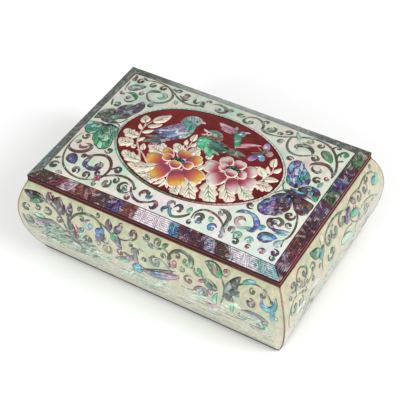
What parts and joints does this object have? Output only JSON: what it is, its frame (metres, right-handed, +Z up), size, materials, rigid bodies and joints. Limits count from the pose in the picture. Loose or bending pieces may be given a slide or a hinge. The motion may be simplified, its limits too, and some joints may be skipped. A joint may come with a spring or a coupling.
{
  "type": "card case",
  "caption": "Bow-sided lacquered wooden card case veneered with mother-of-pearl, with a domed lid that opens on rear hinges.",
  "frame": {"origin": "middle of the underside, on the surface that the case stands on", "axes": "+Z up, +X along the long side, front towards -Y and hinges towards +Y"},
  "size_m": [0.1734, 0.1204, 0.0717],
  "materials": {
    "lacquered_wood": "polished dark maroon lacquer",
    "rim_lacquer": "polished red-brown lacquer",
    "lid_pearl": "lacquered white mother-of-pearl with abalone scrolls",
    "side_pearl": "lacquered cream mother-of-pearl with fine scrolls",
    "abalone": "lacquered purple abalone fretwork",
    "medallion_lacquer": "polished burgundy lacquer with shell inlay",
    "velvet": "burgundy velvet",
    "felt": "black felt",
    "brass": "satin, slightly tarnished"
  },
  "bodies": {
    "case": {"base_felt": "felt", "base_board": "lacquered_wood", "floor_lining": "velvet", "front_wall": "lacquered_wood", "right_wall": "lacquered_wood", "back_wall": "lacquered_wood", "left_wall": "lacquered_wood", "front_veneer": "side_pearl", "right_veneer": "side_pearl", "back_veneer": "side_pearl", "left_veneer": "side_pearl", "front_rim": "rim_lacquer", "right_rim": "rim_lacquer", "back_rim": "rim_lacquer", "left_rim": "rim_lacquer", "front_lining": "velvet", "right_lining": "velvet", "back_lining": "velvet", "left_lining": "velvet", "front_right_corner_line": "rim_lacquer", "back_right_corner_line": "rim_lacquer", "back_left_corner_line": "rim_lacquer", "front_left_corner_line": "rim_lacquer", "left_hinge_case_leaf": "brass", "left_hinge_pin": "brass", "left_hinge_case_screw_1": "brass", "left_hinge_case_screw_2": "brass", "right_hinge_case_leaf": "brass", "right_hinge_pin": "brass", "right_hinge_case_screw_1": "brass", "right_hinge_case_screw_2": "brass"},
    "lid": {"lid_board": "lacquered_wood", "lid_veneer": "lid_pearl", "front_border": "abalone", "right_border": "abalone", "back_border": "abalone", "left_border": "abalone", "medallion_ring": "abalone", "medallion_ground": "medallion_lacquer", "lid_lining": "velvet", "left_hinge_lid_leaf": "brass", "left_hinge_lid_screw_1": "brass", "left_hinge_lid_screw_2": "brass", "right_hinge_lid_leaf": "brass", "right_hinge_lid_screw_1": "brass", "right_hinge_lid_screw_2": "brass"}
  },
  "joints": [
    {"name": "lid_hinge", "type": "hinge", "parent": "case", "child": "lid", "pos_m": [0, 0.0552, 0.058], "axis": [-1, 0, 0], "range_deg": [0, 100]}
  ]
}
